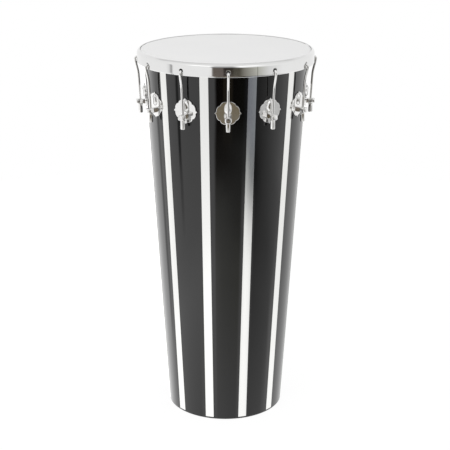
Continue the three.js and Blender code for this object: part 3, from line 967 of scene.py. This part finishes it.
# Painted reflection: a narrow dark stripe mixed into the chrome's colour at one turn round the
# band, below the shoulder, for a dark studio stripe seen mirrored there. The same stripe is also
# made rougher and sunk a little in the bump.
around_drum = spot.math("ARCTAN2", spot.part("X"), 0 - spot.part("Y"))
reflected_stripe = 1 - spot.math("ABSOLUTE", around_drum - reflected_stripe_turn).ramp(0.0, reflected_stripe_half_turn)
reflected_stripe = reflected_stripe * (1 - spot.part("Z").ramp(shoulder_level, shoulder_level + reflected_stripe_fade))
haze = mirror.node("ShaderNodeTexNoise", {}, {0: place, "Scale": 22.0, "Detail": 4.0})
rolled_place = mirror.node("ShaderNodeMapping", {}, {0: place, 3: (1, 1, 30)})
rolled = mirror.node("ShaderNodeTexNoise", {}, {0: rolled_place, "Scale": 30.0, "Detail": 3.0})
clean = mirror.mix(haze, (0.78, 0.78, 0.775, 1), (0.84, 0.84, 0.835, 1))
tint = mirror.mix(reflected_stripe, clean, (0.24, 0.24, 0.22, 1))
relief = mirror.node("ShaderNodeBump", {}, {
    "Strength": 0.06, "Distance": 0.0002, "Height": rolled - reflected_stripe * 0.6,
})
finish_material(mirror, {
    "Base Color": tint, "Metallic": 1.0, "Roughness": haze * 0.05 + reflected_stripe * 0.2 + 0.025,
    "Normal": relief,
})
hoop.data.materials.append(polished)
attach(hoop, "hoop")
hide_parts("counterhoop")


# Tension rods
# Round steel bar, straight through the lug's arm, then up along the cone, bent out round the
# hoop's edge and hooked into its hole. The lower end carries the thread inside the nut.
rod_radius = 0.0025
rod_end = 0.0008
rod_sides = 32
stem_steps = 6
offset_steps = 20
hook_steps = 16
hook_bend = 0.00415
hook_lean = 6
hook_standoff = 0.0006
hook_tip = 0.007
offset_run = 0.032
lean_start = 0.004
rod_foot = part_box("tension_rod_01")[0].z
arm_top = arm_middle + arm_height / 2

# The hook hangs at the bottom of its hole, where the real hoop's pull holds it.
hook_play = hole_radius * math.cos(math.pi / hole_corners) - rod_radius
hook_level = hole_level - hook_play + fit_gap
bend_centre = (hoop_radius - hook_standoff, hook_level - hook_bend)
hook = arc(bend_centre, hook_bend, -hook_lean, 90, hook_steps)
high_slope = math.tan(math.radians(hook_lean))
low_slope = math.tan(wall_tilt)
low_level = hook[0][1] - offset_run
low_radius = rod_circle + low_slope * (low_level - arm_top)


def offset_bend(t):
    """The rod's axis between the cone's slope, at t 0, and the foot of the hook, at t 1."""
    radius = low_radius * (1 + 2 * t) * (1 - t) ** 2 + hook[0][0] * t * t * (3 - 2 * t)
    radius += offset_run * (low_slope * t * (1 - t) ** 2 - high_slope * t * t * (1 - t))
    return radius, low_level + offset_run * t


stem = [rod_foot, rod_foot + rod_end]
stem += [rod_foot + (arm_top - rod_foot) * i / stem_steps for i in range(1, stem_steps + 1)]
path = [(rod_circle, level) for level in stem]
half_way = (low_level - arm_top) / 2
path += [(rod_circle + low_slope * run, arm_top + run) for run in (lean_start, half_way)]
path += [offset_bend(i / offset_steps) for i in range(offset_steps)]
tip_radius = bend_centre[0] - hook_tip
path += [*hook, (tip_radius + rod_end, hook_level), (tip_radius, hook_level)]

rod = bmesh.new()
rings = []
for i, point in enumerate(path):
    at_end = i in (0, len(path) - 1)
    run = (Vector(path[min(i + 1, len(path) - 1)]) - Vector(path[max(i - 1, 0)])).normalized()
    reach = rod_radius - (rod_end if at_end else 0)
    ring = []
    for side in range(rod_sides):
        turn = 2 * math.pi * side / rod_sides
        across = reach * math.cos(turn)
        ring.append(rod.verts.new((
            reach * math.sin(turn), -point[0] - run.y * across, point[1] - run.x * across,
        )))
    rings.append(ring)
join_rings(rod, rings, closed=False)
rod.faces.new(rings[0])
rod.faces.new(rings[-1])
rods = finish_mesh(rod, "tension_rods", sharp_degrees=40)
round_drum.apply(rods, {"Count": lug_count, "Material": chrome})
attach(rods, "hoop")
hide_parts(*(f"tension_rod_{number + 1:02d}" for number in range(lug_count)))


# Sleeve nuts
# Long hexagon nuts under the lugs, each with a round collar that turns against the arm. Every
# nut is a body of its own, because it turns on its rod as the head is tuned.
nut_foot, nut_top = (corner.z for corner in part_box("sleeve_nut_01"))
nut_flats = 0.009
nut_chamfer = 0.001
nut_corner_cut = 0.00035
nut_collar_radius = 0.0056
nut_collar_height = 0.0014
nut_collar_edge = 0.0003
nut_bore = 0.00285
nut_sides = 96

nut_corner = nut_flats / math.sqrt(3)
collar_foot = nut_top - nut_collar_height
nut_section = [
    (nut_corner - nut_chamfer, nut_foot, True),
    (nut_corner - nut_corner_cut, nut_foot + nut_chamfer, True),
    (nut_corner - nut_corner_cut, collar_foot - nut_chamfer / 2, True),
    (nut_flats / 2 - nut_corner_cut, collar_foot, True),
    (nut_collar_radius - nut_collar_edge, collar_foot, False),
    (nut_collar_radius, collar_foot + nut_collar_edge, False),
    (nut_collar_radius, nut_top - nut_collar_edge, False),
    (nut_collar_radius - nut_collar_edge, nut_top, False),
    (nut_bore + nut_collar_edge, nut_top, False), (nut_bore, nut_top - nut_collar_edge, False),
    (nut_bore, nut_foot + nut_collar_edge, False), (nut_bore + nut_collar_edge, nut_foot, False),
]
for number in range(lug_count):
    nut = bmesh.new()
    rings = []
    for reach, level, is_hexagon in nut_section:
        ring = []
        for side in range(nut_sides):
            turn = 2 * math.pi * side / nut_sides
            off_flat = (turn + math.pi / 6) % (math.pi / 3) - math.pi / 6
            out = min(reach, nut_flats / 2 / math.cos(off_flat)) if is_hexagon else reach
            ring.append(nut.verts.new(at_turn(out, turn, level)))
        rings.append(ring)
    join_rings(nut, rings, closed=True)
    on_rod = Matrix.Translation((0, -rod_circle, 0))
    nut.transform(Matrix.Rotation(number * sector, 4, "Z") @ on_rod)
    piece = finish_mesh(nut, f"sleeve_nut_{number + 1:02d}_hex", sharp_degrees=24)
    piece.data.materials.append(chrome)
    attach(piece, f"nut_{number + 1:02d}")
    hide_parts(f"sleeve_nut_{number + 1:02d}")
